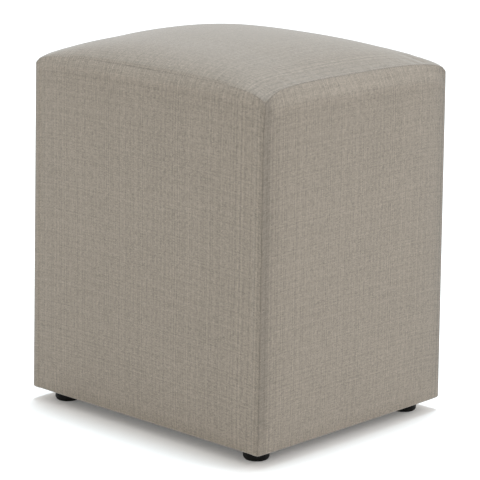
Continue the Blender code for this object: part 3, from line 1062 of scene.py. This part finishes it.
class POUF_OT_top_cover(bpy.types.Operator):
    """Make the crowned top cover with its filling"""

    bl_idname = "pouf.top_cover"
    bl_label = "Top cover"

    def execute(self, context):
        scene = context.scene
        shape, seams = scene.pouf_cover, scene.pouf_seams
        half_x, half_y = shape.width / 2 - shape.taper, shape.depth / 2 - shape.taper
        sheets = partial(top_sheets, shape, seams, half_x, half_y)
        lines = partial(top_lines, seams, half_x, half_y)
        outer, inner, up, across = with_filling("top_cover", shape, sheets, lines)
        outer = with_top_detail(seams, outer, across, up, TOP_SEED)
        outer, inner = (eased(shape, seams, one) for one in (outer, inner))
        cover_object("top_cover", "top_panel", outer, inner, across[1], up[1][:, None])
        return {"FINISHED"}


class POUF_OT_dust_cover(bpy.types.Operator):
    """Make the dust cover that closes the body underneath"""

    bl_idname = "pouf.dust_cover"
    bl_label = "Dust cover"

    def execute(self, context):
        """The lower sheet hangs by the sag times (1 - x^4)(1 - y^4) between its edges, has a turned hem
        that stands 0.4 mm lower than the middle, and edges rounded on a circle. The upper sheet is level."""
        underside = context.scene.pouf_underside
        low, high = (np.array(corner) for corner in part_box("base_panel"))
        half_x, half_y = (high - low)[:2] / 2
        rounded, hem, hem_depth, hem_ease, clearance, waver = 0.0012, 0.0095, 0.0004, 0.003, 0.0003, 0.00012
        turn = np.linspace(0, np.pi / 2, 5)[:-1]
        inset = np.concatenate([rounded * (1 - np.cos(turn)), np.linspace(rounded, hem + hem_ease, 9)])
        edge_up = np.concatenate([rounded * (1 - np.sin(turn)), np.zeros(9)])

        def axis(half, count):
            middle = np.linspace(-1, 1, count)[1:-1] * (half - inset[-1])
            place = np.concatenate([inset - half, middle, (half - inset)[::-1]])
            return place, half - np.abs(place), mirrored(edge_up, np.zeros(len(middle)))

        x, from_x, up_x = axis(half_x, 70)
        y, from_y, up_y = (one[::-1][:, None] for one in axis(half_y, 60))
        folded = 1 - smooth(hem - hem_depth, hem + hem_depth, np.minimum(from_x, from_y))
        hang = (1 - (x / half_x) ** 4) * (1 - (y / half_y) ** 4)
        tension = waves(x + 0.6 * y, (0.021, 0.034), 71) * waves(y - 0.4 * x, (0.047, 0.083), 72)
        raised = np.maximum(up_x, up_y) + hem_depth * (1 - folded) + clearance
        z = low[2] + raised - (underside.sag * hang + waver * tension * hang)
        outer, inner = points_of(x, y, z), points_of(x, y, np.full_like(z, high[2]))
        grain = shared("fine_grain", fine_grain_group)
        finish = shared("dust_cloth", dust_cloth_material, underside, grain)
        stands_for(make_pad("dust_cover", outer, inner, finish=finish), "base_panel")
        return {"FINISHED"}


class POUF_OT_feet(bpy.types.Operator):
    """Make the four round moulded feet"""

    bl_idname = "pouf.feet"
    bl_label = "Feet"

    def execute(self, context):
        """Each foot is one profile turned about Z: a sole with a shallow recess, a quarter ellipse up to
        the side, a straight skirt with a fine moulded step, and a small bevel at the top."""
        underside, shape = context.scene.pouf_underside, context.scene.pouf_cover
        radius, top = underside.foot_radius, shape.lift - underside.foot_clearance
        reach, rise = 0.0034, 0.0052
        turn = np.linspace(0, np.pi / 2, 9)
        lower = np.stack([radius - reach + reach * np.sin(turn), rise * (1 - np.cos(turn))], axis=-1)
        sole = [(0.0, 0.0007), (0.0082, 0.0007), (0.0088, 0.0005), (0.0091, 0.0)]
        skirt = [(radius, 0.0100), (radius - 0.0001, 0.0103), (radius - 0.0003, 0.0104)]
        skirt += [(radius - 0.0003, top - 0.0007), (radius - 0.0005, top - 0.0002), (radius - 0.0010, top)]
        profile = np.array([*sole, *lower.tolist(), *skirt, (0.0, top)])
        across, deep = shape.width / 2 - underside.foot_inset, shape.depth / 2 - underside.foot_inset
        grain = shared("fine_grain", fine_grain_group)
        finish = shared("foot_plastic", foot_plastic_material, underside, grain)
        for corner in FEET:
            end, side = corner.split("_")
            centre = (across if side == "right" else -across, deep if end == "back" else -deep)
            points, faces = turned_solid(profile, underside.foot_steps, centre)
            stands_for(make_object("foot_" + corner, points, faces, finish), "glide_" + corner)
        return {"FINISHED"}


def turned_solid(profile, steps, centre):
    """(points, faces) of a profile of (radius, height) turned about the upright line at `centre`.

    The profile starts and ends on that line, and each of those poles is one point."""
    angles = np.linspace(0, 2 * np.pi, steps, endpoint=False)
    radius, height = profile[1:-1, 0, None], profile[1:-1, 1, None]
    rings = points_of(centre[0] + radius * np.cos(angles), centre[1] + radius * np.sin(angles), height)
    points = np.concatenate([rings.reshape(-1, 3), [(*centre, profile[0, 1]), (*centre, profile[-1, 1])]])
    index = np.arange(len(points) - 2).reshape(-1, steps)
    following = np.roll(index, -1, axis=1)
    sides = np.stack([index[:-1], following[:-1], following[1:], index[1:]], axis=-1).reshape(-1, 4)
    bottom = [(len(points) - 2, b, a) for a, b in zip(index[0], following[0])]
    cap = [(len(points) - 1, a, b) for a, b in zip(index[-1], following[-1])]
    return points, [*sides.tolist(), *bottom, *cap]


class POUF_PT_panel(bpy.types.Panel):
    """The pouf's sizes and colours, and the button that makes each group of pieces"""

    bl_label = "Cube pouf stool"
    bl_space_type = "VIEW_3D"
    bl_region_type = "UI"
    bl_category = "Pouf"

    def draw(self, context):
        for group in GROUPS:
            box = self.layout.box()
            settings = getattr(context.scene, group)
            for label in type(settings).__annotations__:
                box.prop(settings, label)
        for operator in OPERATORS:
            self.layout.operator(operator.bl_idname)


OPERATORS = (POUF_OT_stage, POUF_OT_side_covers, POUF_OT_top_cover, POUF_OT_dust_cover, POUF_OT_feet)


def register():
    for one in (*GROUPS.values(), *OPERATORS, POUF_PT_panel):
        bpy.utils.register_class(one)
    for name, group in GROUPS.items():
        setattr(bpy.types.Scene, name, PointerProperty(type=group))


def unregister():
    for name in GROUPS:
        delattr(bpy.types.Scene, name)
    for one in reversed((*GROUPS.values(), *OPERATORS, POUF_PT_panel)):
        bpy.utils.unregister_class(one)


def main():
    register()
    bpy.ops.pouf.stage()
    bpy.ops.pouf.side_covers()
    bpy.ops.pouf.top_cover()
    bpy.ops.pouf.dust_cover()
    bpy.ops.pouf.feet()


if __name__ == "__main__":
    main()
